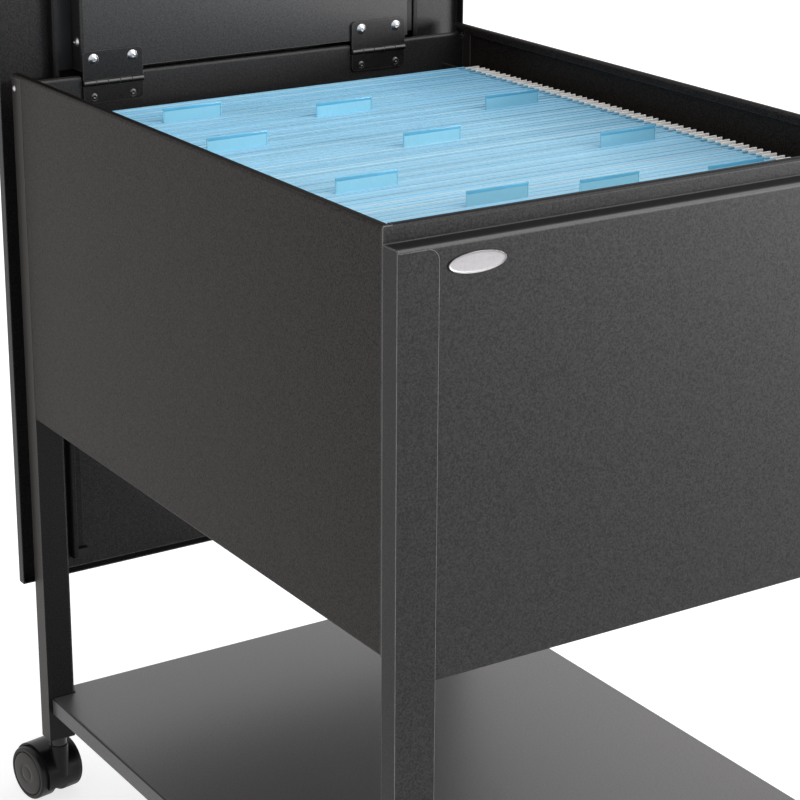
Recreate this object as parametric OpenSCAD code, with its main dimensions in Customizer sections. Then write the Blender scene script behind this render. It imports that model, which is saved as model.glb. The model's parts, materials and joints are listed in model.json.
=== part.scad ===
// Mobile file cabinet: an open-topped tub for hanging folders on four tall legs with casters,
// a lower shelf, and a lid that tilts up on two hinges and then slides down behind the cart.
// Millimetres. The cart is drawn with X along its front, Y from front to back and Z up,
// first with zero at the front left corner of the rim, and then moved to stand on the floor.

/* [Tub] */
// Outer width of the tub
tub_w = 457; // [450:1:520]
// Length of a side wall, between the front and the back legs
side_l = 565; // [545:1:640]
// Height of a side wall
side_h = 305; // [280:1:340]
// Width of the folded rim
rim_w = 8; // [7:0.5:12]
// Depth of the lip under the rim
rim_lip = 7; // [6:0.5:9]
// Width of the folded foot that carries the floor
foot_w = 16; // [10:1:24]
// Thickness of the steel sheet
sheet = 1.2; // [0.9:0.1:1.5]
// Radius of a fold, at the middle of the sheet
fold_r = 2.1; // [1.6:0.1:2.5]

/* [Front panel] */
// Height of the recessed band above the panel
band_h = 12.7; // [10:0.1:18]
// How far the panel stands in front of the band
panel_step = 16; // [14:0.5:20]
// Bottom edge of the panel, below the rim
panel_drop = 325; // [315:1:345]
// Depth of the fold under the panel
panel_return = 11; // [6:0.5:12]
// Radius of the panel's top fold, at the middle of the sheet
panel_fold_r = 2.8; // [2:0.1:4]
// Width of the oval badge
badge_w = 46.5; // [30:0.5:60]
// Height of the oval badge
badge_h = 15; // [10:0.5:20]
// Thickness of the badge
badge_t = 1.2; // [0.8:0.1:2]
// Gap between the leg's face and the badge
badge_gap = 7; // [4:0.5:20]
// Centre of the badge, below the rim
badge_drop = 29; // [24:0.5:60]

/* [Legs and shelf] */
// From the rim to the bottom of a leg
leg_l = 618.5; // [600:0.5:640]
// Width of a leg's outer face
leg_face_w = 33; // [30:0.5:40]
// Width of a leg's inner face
leg_inner_w = 25; // [22:0.5:28]
// Radius of the top corner of a leg's face
leg_corner_r = 9; // [4:0.5:14]
// From the bottom of a leg up to the top of the shelf
shelf_up = 43.5; // [36:0.5:60]
// Depth of the shelf's folded edge
shelf_edge = 16; // [12:0.5:22]
// Inset of the shelf from the sides of the cart
shelf_inset = 4; // [2:0.5:8]
// Radius of the shelf's top edges
shelf_edge_r = 2; // [1:0.1:3]
// Radius of the screws that hold the shelf
shelf_screw_r = 2.5; // [2:0.1:3]

/* [Back wall and hinges] */
// Top of the back wall, below the rim
back_drop = 8.5; // [7:0.5:10]
// Hinge axis, below the rim
hinge_drop = 15; // [14:0.1:16.5]
// Width of a hinge
hinge_w = 57; // [50:1:64]
// Thickness of a hinge leaf
leaf_t = 2; // [1.5:0.1:2.2]
// Height of the fixed leaf, below the axis
fixed_leaf_h = 17.5; // [15:0.5:20]
// Height of the moving leaf, above the axis
moving_leaf_h = 27.5; // [25:0.5:32]
// Radius of the hinge barrel
barrel_r = 2.4; // [2.2:0.1:2.8]
// Radius of the hinge pin
pin_r = 1.25; // [1:0.05:1.5]
// Knuckles on a hinge
knuckles = 5; // [3:2:7]
// Inset of the right hinge from the lid carrier's edge
right_hinge_inset = 5.5; // [0:0.5:12]

/* [Lid carrier] */
// Width of the carrier
carrier_w = 332; // [320:1:336]
// Height of the carrier's plate
carrier_h = 119.5; // [100:0.5:130]
// From the hinge axis up to the carrier's plate
carrier_rise = 10.5; // [8:0.5:12]
// How far the carrier's feet reach out into the lid's rails
carrier_foot = 12; // [10:0.5:14]
// Radius of the domed rivet heads
rivet_head_r = 4.8; // [4:0.1:5.5]
// Height of the domed rivet heads
rivet_head_h = 2.6; // [2:0.1:3.2]

/* [Lid] */
// How far the lid reaches past each side of the cart
lid_overhang = 8; // [5:0.5:12]
// Depth of the lid's folded edge
lid_edge = 10.7; // [10.4:0.1:12]
// Radius of the lid's outer edges
lid_edge_r = 2.5; // [1.5:0.1:3]
// Gap between the closed lid and the rim
lid_rim_gap = 0.7; // [0.5:0.1:1.5]
// Gap between the closed lid's end folds and the legs
lid_end_gap = 1.6; // [1.2:0.1:3]
// Gap between the hanging lid and the back legs
lid_stand = 7.8; // [5:0.1:9]
// How far the lid slides
lid_travel = 443; // [380:1:446]
// Depth of the rails on the lid's inner face
rail_depth = 8.8; // [8.2:0.1:9]
// Reach of a rail's lip over the slide
rail_lip = 5; // [4:0.5:7]
// Width of a rail's base
rail_base = 14; // [12:0.5:15]
// Height of a stop at the end of a rail
stop_h = 8; // [6:0.5:10]
// Gap between a slide and its rail
slide_gap = 0.3; // [0.25:0.05:0.4]

/* [Folders] */
// Distance from one folder to the next
folder_pitch = 16.2; // [15.8:0.1:16.6]
// From the rim down to the top of the folders
folder_drop = 27; // [26:0.5:40]
// First folder, behind the front of the tub
folder_start = 24; // [20:1:30]
// Space kept free behind the last folder, up to the end of the side walls
folder_rear_room = 50; // [50:10:200]
// Width of a folder's card
folder_w = 374; // [360:1:380]
// Height of a folder's card
folder_h = 235; // [220:1:240]
// Width over the hooks of a folder's rods
hook_w = 406; // [402:1:420]
// Width of an index tab
tab_w = 54; // [40:1:57]
// How far a tab stands above its folder
tab_rise = 11.5; // [8:0.5:11.5]

/* [Casters] */
// From the floor to the bottom of a leg
caster_h = 64.5; // [62:0.5:72]
// Wheel diameter
wheel_d = 50; // [44:1:52]
// Width over both wheels
caster_w = 48; // [44:1:56]
// Width of the hood
hood_w = 33; // [28:1:36]
// Thickness of the hood's shell
hood_t = 2; // [1.6:0.1:2.6]
// Distance from the stem to the axle, along the floor
trail = 20; // [19:0.5:22]
// Radius of the stem
stem_r = 4; // [3.5:0.25:4.5]
// Radius of the collar under the leg
collar_r = 7.5; // [6.5:0.25:8]
// Radius of the axle
axle_r = 3; // [2.5:0.25:3.5]
// Turn of the back casters at rest
back_turn = 10; // [0:1:15]

/* [Hidden] */

$fn = 48;

// Colours of the powder-coated steel, the folders and the casters
steel_colour = [0.24, 0.23, 0.225];
dark_colour = [0.15, 0.15, 0.155];
silver_colour = [0.8, 0.8, 0.8];
black_colour = [0.07, 0.07, 0.07];
card_colour = [0.45, 0.75, 0.88];
tab_colour = [0.3, 0.74, 0.88];

// General clearances
fit_gap = 0.05;
part_gap = 0.3;
cut = 1;

// Legs: a channel as deep as the panel's step, with its outer face over the panel
leg_depth = panel_step + sheet;
leg_rear = side_l + leg_depth;
rim_height = leg_l + caster_h;
rim_fold = fold_r + sheet;
floor_side_gap = fold_r + sheet;
seam_gap = 0.5;
leg_rivet_r = 1.5;
leg_rivet_l = 3 * sheet;
leg_rivet_head_r = 2.5;
leg_rivet_head_h = 1.4;
leg_screw_in = 8;
shelf_drop = leg_l - shelf_up;
shelf_screw_drop = shelf_edge * 0.55;
shelf_side_gap = 1;
shelf_end_in = 1.7;
front_reach = max(leg_depth, panel_step + badge_t);

// Hinge line and the back wall behind it
pin_gap = 0.2;
lid_edge_y = leg_rear + lid_stand;
axis_y = lid_edge_y - hinge_drop - lid_rim_gap;
wall_y = axis_y + pin_gap + leaf_t;
knuckle_gap = 0.6;
knuckle_w = hinge_w / knuckles;

// Lid carrier and slides
carrier_x = (tub_w - carrier_w) / 2;
carrier_bottom = carrier_rise - hinge_drop;
carrier_top = carrier_bottom + carrier_h;
lid_face_y = lid_edge_y + lid_edge - sheet;
slide_t = rail_depth - 2 * sheet - 2 * slide_gap;
slide_y = lid_face_y - sheet - slide_gap - slide_t / 2;
slide_cap = 6;
slide_end_x = carrier_x - carrier_foot - slide_cap;
slide_side_gap = 0.4;
slide_edge_gap = 2;
stop_inset = 1;
rail_fold_r = sheet / 2 + 0.8;
rail_x = slide_end_x - slide_side_gap - sheet;
hinge_x = [carrier_x, carrier_x + carrier_w - right_hinge_inset - hinge_w];
hinge_hole_in = 10;
leaf_corner_r = 4;
fixed_hole_end = 5.5;
moving_hole_end = 7;
fixed_hole_drop = fixed_leaf_h - fixed_hole_end;
moving_hole_rise = moving_leaf_h - moving_hole_end;
screw_r = 1.75;
screw_head_r = 3.4;
screw_head_h = 1.2;
rivet_r = 2.4;
carrier_rivet_end = 24.5;
carrier_rivet_z = [carrier_rivet_end, carrier_h - carrier_rivet_end];
carrier_rivet_in = 8;
stiffener_h = 24;

// Lid: closed, its end folds pass the legs in front and behind by the end gap
lid_rear_reach = leg_rear + lid_end_gap + sheet - axis_y;
lid_l = leg_rear + leg_depth + 2 * lid_end_gap + 2 * sheet;
lid_bottom = -hinge_drop - lid_rear_reach - lid_travel;
lid_w = tub_w + 2 * lid_overhang;
upper_stop_z = carrier_top + part_gap;
lower_stop_z = carrier_bottom - part_gap - lid_travel;

// Folders
card = 0.6;
rod_t = 1.2;
rod_h = 5;
rod_side_gap = 0.3;
hem_h = 7.5;
hem_mid = 4.6;
hem_half = card + rod_side_gap + rod_t / 2;
jacket_foot = 2;
hook_tip = 3;
hook_drop = 6.5;
hook_room = 1.4;
inner_t = 1.6;
inner_drop = 10;
inner_side_gap = 6;
inner_w = folder_w - 2 * inner_side_gap;
tab_t = 0.8;
tab_hold = 8;
file_rail_rise = 16;
file_rail_flange = 14;
file_rail_end = 10;
file_rail_gap = 0.1;
rod_top = folder_drop + card;
file_rail_top = rod_top + rod_h + file_rail_gap;
file_rail_x = (tub_w - hook_w) / 2 + hook_tip + hook_room + sheet / 2;
folder_count = 1 + floor((side_l - folder_start - folder_rear_room) / folder_pitch);
// Each tab: its folder, counted from the front, and its place from left (0) to right (1) on it
tab_shares = [
    [4, 0.89], [5, 0.56], [6, 0.285], [11, 0.1], [12, 0.89],
    [17, 0.48], [21, 0.045], [22, 0.9], [25, 0.475], [28, 0.11]
];

// Casters
wheel_r = wheel_d / 2;
hood_gap = 0.6;
hood_r = wheel_r + hood_gap + hood_t;
axle_z = wheel_r - caster_h;
web_half = 5.6;
wheel_side_gap = 0.4;
wheel_round = 2.5;
wheel_cap = 3.5;
tread_in = 0.72;
tread_groove = 0.6;
hood_low = 0.4;
collar_h = 8;
boss_wall = 1;
boss_r = collar_r + boss_wall;
stem_in = 12;
stem_axle_gap = 7.5;
stem_down = -axle_z - axle_r - stem_axle_gap;
socket_gap = 2;
socket_h = shelf_up - shelf_screw_drop - shelf_screw_r - socket_gap;
stem_up = socket_h - socket_gap;
socket_w = 21;

// Middle of the cart's box, from the front of the front legs to the rearmost caster or lid
back_reach = max(hood_r * cos(back_turn) + hood_w / 2 * sin(back_turn),
                 wheel_r * cos(back_turn) + caster_w / 2 * sin(back_turn));
caster_back = side_l + leg_depth / 2 + trail * cos(back_turn) + back_reach;
mid_y = (max(caster_back, lid_edge_y + lid_edge) - front_reach) / 2;

// Moves a piece from the drawing position to the standing position
module stand() {
    translate([-tub_w / 2, -mid_y, rim_height]) children();
}

// A copy mirrored from the left side of the cart to the right side
module to_right() {
    translate([tub_w, 0, 0]) mirror([1, 0, 0]) children();
}

// A copy mirrored from the front of the cart to the back
module to_back() {
    translate([0, side_l, 0]) mirror([0, 1, 0]) children();
}

// Both sides of the cart
module both_sides() {
    children();
    to_right() children();
}

// Extrudes an outline drawn in Y and Z along X
module along_x(from, to) {
    translate([from, 0, 0]) rotate([90, 0, 90]) linear_extrude(height = to - from) children();
}

// Extrudes an outline drawn in X and Z along Y
module along_y(from, to) {
    translate([0, to, 0]) rotate([90, 0, 0]) linear_extrude(height = to - from) children();
}

// Extrudes an outline drawn in X and Y along Z
module along_z(from, to) {
    translate([0, 0, from]) linear_extrude(height = to - from) children();
}

// A strip of sheet folded at right angles, drawn through the middle of the sheet
module folded_strip(points, t = sheet, r = fold_r) {
    last = len(points) - 1;
    for (i = [0:last - 1]) {
        run = points[i + 1] - points[i];
        from = i == 0 ? 0 : r;
        to = norm(run) - (i == last - 1 ? 0 : r);
        translate(points[i]) rotate(atan2(run[1], run[0])) translate([from, -t / 2]) square([to - from, t]);
    }
    for (i = [1:last - 1]) {
        before = (points[i] - points[i - 1]) / norm(points[i] - points[i - 1]);
        after = (points[i + 1] - points[i]) / norm(points[i + 1] - points[i]);
        side = before - after;
        translate(points[i] - side * r) intersection() {
            difference() {
                circle(r + t / 2);
                circle(r - t / 2);
            }
            translate([min(side[0], 0) * (r + t), min(side[1], 0) * (r + t)]) square(r + t);
        }
    }
}

// A slab with its two long top edges rounded, as an outline
module round_shouldered(w, h, r) {
    translate([-w / 2, 0]) square([w, h - r]);
    translate([-w / 2 + r, 0]) square([w - 2 * r, h]);
    for (side = [-1, 1]) {
        translate([side * (w / 2 - r), h - r]) circle(r);
    }
}

// A block whose top edges are rounded on all four sides, centred, standing on its open side
module rounded_block(x, y, h, r) {
    intersection() {
        along_x(-x / 2, x / 2) round_shouldered(y, h, r);
        along_y(-y / 2, y / 2) round_shouldered(x, h, r);
    }
}

// A domed head on a shank, pointing up, seated at zero
module domed_rivet(head_r, head_h, shank_r, shank_l) {
    ball_r = (head_r * head_r + head_h * head_h) / (2 * head_h);
    rotate_extrude() intersection() {
        translate([0, head_h - ball_r]) circle(ball_r, $fn = 96);
        square([head_r, head_h]);
    }
    translate([0, 0, -shank_l]) cylinder(r = shank_r, h = shank_l + head_h / 4);
}

// Tub

module wall_outline() {
    folded_strip([
        [foot_w, -side_h + sheet / 2],
        [sheet / 2, -side_h + sheet / 2],
        [sheet / 2, -sheet / 2],
        [rim_w - sheet / 2, -sheet / 2],
        [rim_w - sheet / 2, -rim_lip]
    ]);
}

module side_wall() {
    wall_end = side_l - seam_gap;
    along_y(sheet + seam_gap, wall_end) wall_outline();
    along_y(wall_end, leg_rear) intersection() {
        wall_outline();
        translate([0, -rim_fold]) square([rim_w, rim_fold]);
    }
}

module left_wall() {
    color(steel_colour) stand() side_wall();
}

module right_wall() {
    color(steel_colour) stand() to_right() side_wall();
}

module front_wall() {
    color(steel_colour) stand() intersection() {
        difference() {
            along_x(0, tub_w) folded_strip([
                [sheet / 2, -side_h],
                [sheet / 2, -sheet / 2],
                [rim_w - sheet / 2, -sheet / 2],
                [rim_w - sheet / 2, -rim_lip]
            ]);
            for (x = [-cut, tub_w - rim_w]) {
                translate([x, sheet, -side_h]) cube([rim_w + cut, rim_w, side_h + cut]);
            }
        }
        translate([tub_w / 2, 0, -side_h]) along_y(-cut, rim_w + cut)
            round_shouldered(tub_w, side_h, fold_r + sheet / 2);
    }
}

module front_panel() {
    face_y = -panel_step + sheet / 2;
    color(steel_colour) stand() {
        along_x(sheet, tub_w - sheet) {
            folded_strip([
                [0, -band_h - sheet / 2],
                [face_y, -band_h - sheet / 2],
                [face_y, -panel_drop / 2]
            ], r = panel_fold_r);
            folded_strip([
                [face_y, -panel_drop / 2],
                [face_y, -panel_drop + sheet / 2],
                [face_y + panel_return, -panel_drop + sheet / 2]
            ]);
        }
    }
}

module hinge_notch() {
    translate([-cut, -cut, -hinge_drop - barrel_r - part_gap])
        cube([hinge_w + 2 * cut, leg_depth + 2 * cut, hinge_drop + barrel_r]);
}

module back_wall() {
    color(steel_colour) stand() difference() {
        union() {
            along_x(2 * sheet, tub_w - 2 * sheet) folded_strip([
                [wall_y + sheet / 2, -side_h],
                [wall_y + sheet / 2, -back_drop - sheet / 2],
                [leg_rear - cut / 2, -back_drop - sheet / 2]
            ]);
            for (x = [sheet, tub_w - 2 * sheet]) {
                translate([x, wall_y, -side_h])
                    cube([sheet, leg_rear - sheet - wall_y, side_h - back_drop]);
            }
        }
        for (x = hinge_x) {
            translate([x, wall_y, 0]) hinge_notch();
            for (hole_x = [hinge_hole_in, hinge_w - hinge_hole_in]) {
                translate([x + hole_x, wall_y - cut, -hinge_drop - fixed_hole_drop])
                    rotate([-90, 0, 0]) cylinder(r = screw_r + fit_gap, h = sheet + 2 * cut);
            }
        }
        both_sides() leg_rivet_hole();
    }
}

module tub_floor() {
    color(steel_colour) stand()
        translate([floor_side_gap, sheet, -side_h + sheet])
            cube([tub_w - 2 * floor_side_gap, wall_y - sheet, sheet]);
}

// Legs

module leg_screw_place() {
    translate([leg_inner_w - leg_screw_in, 0, -shelf_drop - shelf_screw_drop]) rotate([-90, 0, 0]) children();
}

// The channel of the front left leg; its inner face starts below the tub
module leg_channel(web_top, face_top) {
    difference() {
        union() {
            translate([0, -leg_depth, -leg_l]) cube([sheet, leg_depth, leg_l - web_top]);
            translate([0, -leg_depth, -leg_l]) cube([leg_face_w, sheet, leg_l - face_top]);
            translate([0, -sheet, -leg_l]) cube([leg_inner_w, sheet, leg_l - side_h - part_gap]);
        }
        along_y(-leg_depth - cut, cut - leg_depth + sheet) difference() {
            translate([leg_face_w - leg_corner_r, -face_top - leg_corner_r])
                square(leg_corner_r + cut);
            translate([leg_face_w - leg_corner_r, -face_top - leg_corner_r]) circle(leg_corner_r);
        }
        leg_screw_place() cylinder(r = shelf_screw_r + fit_gap, h = 4 * sheet, center = true);
    }
}

module front_leg() {
    leg_channel(band_h, band_h + panel_fold_r - sheet / 2);
}

module leg_rivet_place() {
    translate([0, leg_rear - 4 * sheet, -back_drop - 3 * sheet]) rotate([0, -90, 0]) children();
}

module leg_rivet_hole() {
    leg_rivet_place() translate([0, 0, -leg_rivet_l - cut])
        cylinder(r = leg_rivet_r + fit_gap, h = leg_rivet_l + 2 * cut);
}

module back_leg() {
    difference() {
        to_back() leg_channel(rim_fold, back_drop + 2 * sheet);
        leg_rivet_hole();
    }
}

module front_left_leg() {
    color(steel_colour) stand() front_leg();
}

module front_right_leg() {
    color(steel_colour) stand() to_right() front_leg();
}

module back_left_leg() {
    color(steel_colour) stand() back_leg();
}

module back_right_leg() {
    color(steel_colour) stand() to_right() back_leg();
}

module leg_rivets() {
    color(silver_colour) stand() both_sides() leg_rivet_place()
        domed_rivet(leg_rivet_head_r, leg_rivet_head_h, leg_rivet_r, leg_rivet_l);
}

// Shelf

// The shelf's outer shape, or with an inset its hollow, which then starts lower by below
module shelf_body(inset, below = 0) {
    h = shelf_edge - inset + below;
    r = inset > 0 ? shelf_edge_r / 2 : shelf_edge_r;
    translate([tub_w / 2, side_l / 2, -shelf_drop - shelf_edge - below]) {
        rounded_block(tub_w - 2 * shelf_inset - 2 * inset, side_l - 2 * inset, h, r);
        rounded_block(tub_w - 2 * (leg_inner_w + shelf_side_gap + inset),
                      side_l + 2 * (leg_depth - shelf_end_in - inset), h, r);
    }
}

module shelf() {
    color(steel_colour) stand() difference() {
        shelf_body(0);
        shelf_body(sheet, cut);
        both_sides() {
            leg_screw_place() cylinder(r = shelf_screw_r + fit_gap, h = 6 * sheet, center = true);
            to_back() leg_screw_place() cylinder(r = shelf_screw_r + fit_gap, h = 6 * sheet, center = true);
        }
    }
}

module shelf_screw() {
    leg_screw_place() {
        translate([0, 0, sheet]) cylinder(r = 2 * shelf_screw_r, h = shelf_screw_r);
        translate([0, 0, -2 * sheet]) cylinder(r = shelf_screw_r, h = 4 * sheet);
    }
}

module shelf_screws() {
    color(dark_colour) stand() both_sides() {
        shelf_screw();
        to_back() shelf_screw();
    }
}

// File rails

module file_rail() {
    web_z = -file_rail_top - file_rail_rise;
    along_y(file_rail_end, wall_y - file_rail_end) folded_strip([
        [1.5 * sheet, web_z - file_rail_flange],
        [1.5 * sheet, web_z],
        [file_rail_x, web_z],
        [file_rail_x, -file_rail_top]
    ]);
}

module left_file_rail() {
    color(dark_colour) stand() file_rail();
}

module right_file_rail() {
    color(dark_colour) stand() to_right() file_rail();
}

// Badge: a plain oval plate

module badge() {
    oval = [for (a = [0:7.5:352.5]) [badge_w / 2 * cos(a), badge_h / 2 * sin(a)]];
    color(silver_colour) stand()
        translate([leg_face_w + badge_gap + badge_w / 2, 0, -badge_drop])
            along_y(-panel_step - badge_t, -panel_step) polygon(oval);
}

// Hinges

// One leaf in the plane of the hinge, with its knuckles; up is 1 for the moving leaf
module leaf(up) {
    h = up == 1 ? moving_leaf_h : fixed_leaf_h;
    hole_z = up == 1 ? moving_hole_rise : -fixed_hole_drop;
    hole_r = up == 1 ? rivet_r : screw_r;
    root = barrel_r + part_gap;
    difference() {
        union() {
            along_y(pin_gap, pin_gap + leaf_t) mirror([0, up == 1 ? 0 : 1]) {
                translate([0, root]) square([hinge_w, h - root - leaf_corner_r]);
                translate([leaf_corner_r, root]) square([hinge_w - 2 * leaf_corner_r, h - root]);
                for (x = [leaf_corner_r, hinge_w - leaf_corner_r]) {
                    translate([x, h - leaf_corner_r]) circle(leaf_corner_r);
                }
                for (i = [up:2:knuckles - 1]) {
                    translate([i * knuckle_w + knuckle_gap / 2, 0])
                        square([knuckle_w - knuckle_gap, h / 2]);
                }
            }
            for (i = [up:2:knuckles - 1]) {
                translate([i * knuckle_w + knuckle_gap / 2, 0, 0])
                    rotate([0, 90, 0]) cylinder(r = barrel_r, h = knuckle_w - knuckle_gap);
            }
        }
        translate([-cut, 0, 0]) rotate([0, 90, 0]) cylinder(r = pin_r + fit_gap, h = hinge_w + 2 * cut);
        for (x = [hinge_hole_in, hinge_w - hinge_hole_in]) {
            translate([x, -cut, hole_z]) rotate([-90, 0, 0]) cylinder(r = hole_r + fit_gap, h = leaf_t + 3 * cut);
        }
    }
}

module at_hinge(i) {
    translate([hinge_x[i], axis_y, -hinge_drop]) children();
}

module left_hinge_fixed_leaf() {
    color(dark_colour) stand() at_hinge(0) leaf(0);
}

module right_hinge_fixed_leaf() {
    color(dark_colour) stand() at_hinge(1) leaf(0);
}

module left_hinge_moving_leaf() {
    color(dark_colour) stand() at_hinge(0) leaf(1);
}

module right_hinge_moving_leaf() {
    color(dark_colour) stand() at_hinge(1) leaf(1);
}

module hinge_pins() {
    color(dark_colour) stand() for (i = [0, 1]) {
        at_hinge(i) translate([-part_gap, 0, 0]) rotate([0, 90, 0]) cylinder(r = pin_r, h = hinge_w + 2 * part_gap);
    }
}

module hinge_screws() {
    color(dark_colour) stand() for (i = [0, 1]) {
        for (x = [hinge_hole_in, hinge_w - hinge_hole_in]) {
            at_hinge(i) translate([x, pin_gap, -fixed_hole_drop]) rotate([90, 0, 0])
                domed_rivet(screw_head_r, screw_head_h, screw_r, leaf_t + 2 * sheet);
        }
    }
}

module hinge_rivets() {
    color(silver_colour) stand() for (i = [0, 1]) {
        for (x = [hinge_hole_in, hinge_w - hinge_hole_in]) {
            at_hinge(i) translate([x, pin_gap, moving_hole_rise]) rotate([90, 0, 0])
                domed_rivet(rivet_head_r, rivet_head_h, rivet_r, leaf_t + 2 * sheet);
        }
    }
}

// Lid carrier: a shallow hat section whose feet run in the lid's rails

module carrier_rivet_places() {
    for (z = carrier_rivet_z) {
        translate([carrier_x, wall_y + carrier_rivet_in, carrier_bottom + z]) rotate([0, -90, 0]) children();
    }
}

module lid_carrier() {
    plate_y = wall_y + sheet / 2;
    color(dark_colour) stand() difference() {
        along_z(carrier_bottom, carrier_top) folded_strip([
            [carrier_x - carrier_foot, slide_y],
            [carrier_x + sheet / 2, slide_y],
            [carrier_x + sheet / 2, plate_y],
            [carrier_x + carrier_w - sheet / 2, plate_y],
            [carrier_x + carrier_w - sheet / 2, slide_y],
            [carrier_x + carrier_w + carrier_foot, slide_y]
        ]);
        for (i = [0, 1]) {
            for (x = [hinge_hole_in, hinge_w - hinge_hole_in]) {
                at_hinge(i) translate([x, 0, moving_hole_rise]) rotate([-90, 0, 0])
                    cylinder(r = rivet_r + fit_gap, h = leaf_t + 3 * sheet);
            }
        }
        both_sides() carrier_rivet_places()
            cylinder(r = rivet_r + fit_gap, h = 4 * sheet, center = true);
    }
}

module carrier_stiffener() {
    color(dark_colour) stand() difference() {
        for (z = carrier_rivet_z) {
            along_z(carrier_bottom + z - stiffener_h / 2, carrier_bottom + z + stiffener_h / 2)
                folded_strip([
                    [carrier_x + 1.5 * sheet, wall_y + sheet + fold_r],
                    [carrier_x + 1.5 * sheet, slide_y - 1.5 * sheet],
                    [carrier_x + carrier_w - 1.5 * sheet, slide_y - 1.5 * sheet],
                    [carrier_x + carrier_w - 1.5 * sheet, wall_y + sheet + fold_r]
                ]);
        }
        both_sides() carrier_rivet_places()
            cylinder(r = rivet_r + fit_gap, h = 6 * sheet, center = true);
    }
}

module carrier_rivets() {
    color(silver_colour) stand() both_sides() carrier_rivet_places()
        domed_rivet(rivet_head_r - 0.4, rivet_head_h, rivet_r, 2.5 * sheet);
}

module lid_slides() {
    color(black_colour) stand() both_sides() difference() {
        translate([slide_end_x, slide_y - slide_t / 2, carrier_bottom])
            cube([slide_cap + carrier_foot - slide_edge_gap, slide_t, carrier_h]);
        translate([slide_end_x + slide_cap, slide_y - sheet / 2, carrier_bottom - cut])
            cube([carrier_foot + cut, sheet, carrier_h + 2 * cut]);
    }
}

// Lid

// The lid's outer shape, or with an inset its hollow, which then starts lower by below
module lid_shape(inset, below = 0) {
    translate([tub_w / 2, lid_edge_y - below, lid_bottom + lid_l / 2]) rotate([-90, 0, 0])
        rounded_block(lid_w - 2 * inset, lid_l - 2 * inset, lid_edge - inset + below,
                      max(lid_edge_r - inset, sheet / 4));
}

module lid_pan() {
    color(steel_colour) stand() difference() {
        lid_shape(0);
        lid_shape(sheet, cut);
    }
}

module lid_rail() {
    from = lower_stop_z - stop_h;
    to = upper_stop_z + stop_h;
    along_z(from, to) folded_strip([
        [rail_x + rail_lip, lid_face_y - rail_depth + sheet / 2],
        [rail_x + sheet / 2, lid_face_y - rail_depth + sheet / 2],
        [rail_x + sheet / 2, lid_face_y - sheet / 2],
        [rail_x + rail_base, lid_face_y - sheet / 2]
    ], r = rail_fold_r);
}

module left_lid_rail() {
    color(dark_colour) stand() lid_rail();
}

module right_lid_rail() {
    color(dark_colour) stand() to_right() lid_rail();
}

module rail_stops() {
    color(black_colour) stand() both_sides() for (z = [lower_stop_z - stop_h, upper_stop_z]) {
        translate([slide_end_x + stop_inset, slide_y - slide_t / 2, z])
            cube([rail_base - stop_inset, slide_t + slide_gap, stop_h]);
    }
}

// Hanging folders

function folder_y(i) = folder_start + i * folder_pitch;

// The back leaf of a jacket, from the fold at its foot up over the hem that holds the rod
leaf_outline = [
    [0, -folder_h],
    [jacket_foot, -folder_h],
    [hem_mid + hem_half, -hem_h],
    [hem_mid + hem_half, 0],
    [hem_mid - hem_half, 0],
    [hem_mid - hem_half, -hem_h],
    [hem_mid - hem_half + card, -hem_h],
    [hem_mid - hem_half + card, -card],
    [hem_mid + hem_half - card, -card],
    [hem_mid + hem_half - card, -hem_h],
    [jacket_foot - card, -folder_h + card],
    [0, -folder_h + card]
];

module folder_leaves(side) {
    for (i = [0:folder_count - 1]) {
        translate([0, folder_y(i), -folder_drop])
            along_x((tub_w - folder_w) / 2, (tub_w + folder_w) / 2) scale([side, 1]) polygon(leaf_outline);
    }
}

module folder_front_leaves() {
    color(card_colour) stand() folder_leaves(-1);
}

module folder_back_leaves() {
    color(card_colour) stand() folder_leaves(1);
}

module hanger_rod() {
    half = hook_w / 2;
    polygon([
        [-half, 0], [half, 0], [half, -rod_h - hook_drop], [half - hook_tip, -rod_h - hook_drop],
        [half - hook_tip, -rod_h], [-half + hook_tip, -rod_h],
        [-half + hook_tip, -rod_h - hook_drop], [-half, -rod_h - hook_drop]
    ]);
}

module hanger_rods() {
    color(silver_colour) stand() for (i = [0:folder_count - 1]) {
        for (side = [-1, 1]) {
            translate([tub_w / 2, folder_y(i) + side * hem_mid, -rod_top])
                along_y(-rod_t / 2, rod_t / 2) hanger_rod();
        }
    }
}

module inner_folders() {
    h = folder_h - card - inner_drop;
    color(card_colour) stand() for (i = [0:folder_count - 1]) {
        translate([(tub_w - inner_w) / 2, folder_y(i) - inner_t / 2, -folder_drop - inner_drop - h])
            cube([inner_w, inner_t, h]);
    }
}

module index_tabs() {
    color(tab_colour) stand() for (place = tab_shares) {
        x = (tub_w - folder_w) / 2 + place[1] * (folder_w - tab_w);
        y = folder_y(min(place[0], folder_count) - 1) - hem_mid - hem_half - tab_t;
        translate([x, y, -folder_drop - tab_hold]) cube([tab_w, tab_t, tab_hold + tab_rise]);
    }
}

// Casters, drawn at a stem that points up from the floor side of the leg

module caster_sockets() {
    color(black_colour) stand() both_sides() for (back = [0, 1]) {
        translate([sheet, back == 0 ? sheet - leg_depth : side_l + sheet, -leg_l]) difference() {
            cube([socket_w, leg_depth - 2 * sheet, socket_h]);
            translate([stem_in - sheet, leg_depth / 2 - sheet, -cut])
                cylinder(r = stem_r + fit_gap, h = socket_h + 2 * cut);
        }
    }
}

function stem_y(back) = back == 0 ? -leg_depth / 2 : side_l + leg_depth / 2;

module caster_stems() {
    color(silver_colour) stand() both_sides() for (back = [0, 1]) {
        translate([stem_in, stem_y(back), -leg_l]) {
            translate([0, 0, -stem_down]) cylinder(r = stem_r, h = stem_down + stem_up);
            translate([0, 0, -collar_h]) cylinder(r = collar_r, h = collar_h);
        }
    }
}

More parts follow.
